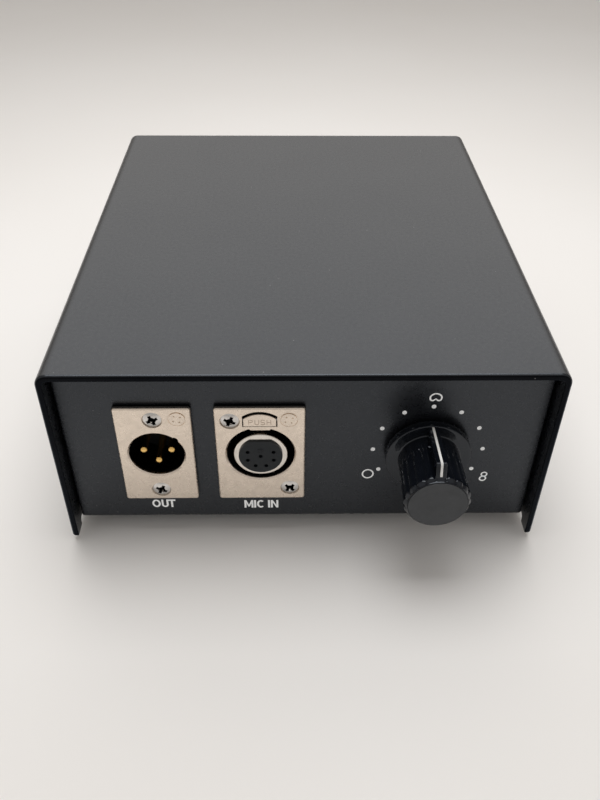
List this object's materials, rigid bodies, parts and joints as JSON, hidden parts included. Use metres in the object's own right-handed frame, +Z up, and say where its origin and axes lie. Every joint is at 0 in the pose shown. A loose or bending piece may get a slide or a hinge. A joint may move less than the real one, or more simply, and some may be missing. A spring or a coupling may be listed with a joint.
{
  "type": "valve microphone power supply",
  "caption": "Desktop mains power supply for a valve microphone: folded black steel box, output and microphone sockets, fluted pattern knob, mains inlet at the back.",
  "frame": {"origin": "centre of the bounding box in plan, on the plane that the feet stand on", "axes": "+X right seen from the front, +Y from the front panel to the back, +Z up"},
  "size_m": [0.1442, 0.1886, 0.0649],
  "materials": {
    "black_paint": "fine black powder coat, low sheen",
    "black_screw": "black oxide",
    "rubber": "matt",
    "zinc_steel": "zinc plated",
    "screw_steel": "nickel plated",
    "satin_nickel": "satin nickel plated die casting",
    "bright_nickel": "bright nickel plated",
    "black_plastic": "moulded, fine grain",
    "gold": "gold plated",
    "spring_steel": "spring steel",
    "knob_gloss": "high gloss black",
    "knob_matte": "matt dark grey disc",
    "white_line": "filled white line",
    "brass": "turned",
    "phenolic": "brown laminate",
    "tinned": "tinned",
    "fuse_glass": "clear",
    "rocker_plastic": "satin moulded",
    "red_plastic": "moulded",
    "winding_tape": "polyester tape wrap",
    "board_green": "solder mask",
    "can_sleeve": "shrink sleeve",
    "heatsink": "black anodised",
    "resistor_body": "lacquered",
    "terminal_green": "moulded",
    "wire_mains": "pvc",
    "wire_signal": "pvc"
  },
  "bodies": {
    "chassis": {"board_screws": "zinc_steel", "board_standoffs": "brass", "bridge_rectifiers": "black_plastic", "chassis_tray": "black_paint", "circuit_board": "board_green", "cover_screws": "black_screw", "filter_capacitors": "can_sleeve", "foot_screws": "zinc_steel", "ground_nut": "brass", "ground_stud": "brass", "m3_nuts": "zinc_steel", "mains_inlet_blades": "tinned", "mains_inlet_body": "black_plastic", "mains_inlet_screws": "black_screw", "mains_wiring": "wire_mains", "mic_latch_pin": "zinc_steel", "mic_latch_spring": "spring_steel", "mic_socket_barrel": "bright_nickel", "mic_socket_contacts": "gold", "mic_socket_insert": "black_plastic", "mic_socket_shell": "satin_nickel", "out_socket_insert": "black_plastic", "out_socket_pins": "gold", "out_socket_shell": "satin_nickel", "power_switch_body": "black_plastic", "power_switch_tags": "tinned", "regulator_heatsink": "heatsink", "regulators": "black_plastic", "resistors": "resistor_body", "rubber_feet": "rubber", "signal_wiring": "wire_signal", "socket_screws": "screw_steel", "switch_bushing": "brass", "switch_housing": "zinc_steel", "switch_nut": "zinc_steel", "switch_tags": "tinned", "switch_wafer": "phenolic", "switch_washer": "zinc_steel", "terminal_blocks": "terminal_green", "top_cover": "black_paint", "transformer_bolt": "zinc_steel", "transformer_nut": "zinc_steel", "transformer_pads": "rubber", "transformer_plate": "zinc_steel", "transformer_winding": "winding_tape", "voltage_selector_body": "black_plastic", "voltage_selector_screws": "zinc_steel"},
    "knob": {"pattern_knob": "knob_gloss", "knob_cap": "knob_matte", "knob_pointer_line": "white_line", "knob_bush": "brass", "knob_set_screw": "black_screw", "switch_shaft": "zinc_steel", "switch_rotor": "black_plastic"},
    "latch": {"mic_latch": "satin_nickel"},
    "rocker": {"power_rocker": "rocker_plastic"},
    "fuse_carrier": {"fuse_drawer": "black_plastic", "fuse_glass": "fuse_glass", "fuse_caps": "tinned"},
    "selector": {"voltage_slider": "red_plastic"}
  },
  "joints": [
    {"name": "pattern_knob_turn", "type": "hinge", "parent": "chassis", "child": "knob", "pos_m": [0.0364, -0.07705, 0.0333], "axis": [0, 1, 0], "range_deg": [-120, 120]},
    {"name": "mic_latch_press", "type": "hinge", "parent": "chassis", "child": "latch", "pos_m": [-0.01255, -0.07115, 0.0448], "axis": [-1, 0, 0], "range_deg": [0, 9], "stiffness_Nm_per_rad": 0.05, "springref_deg": -6.88, "deforming": ["mic_latch_spring"]},
    {"name": "power_rocker_tilt", "type": "hinge", "parent": "chassis", "child": "rocker", "pos_m": [0.012, 0.08935, 0.0335], "axis": [1, 0, 0], "range_deg": [0, 20]},
    {"name": "fuse_drawer_slide", "type": "slide", "parent": "chassis", "child": "fuse_carrier", "axis": [0, 1, 0], "range_m": [0, 0.016]},
    {"name": "voltage_slider_slide", "type": "slide", "parent": "chassis", "child": "selector", "axis": [1, 0, 0], "range_m": [0, 0.0052]}
  ]
}
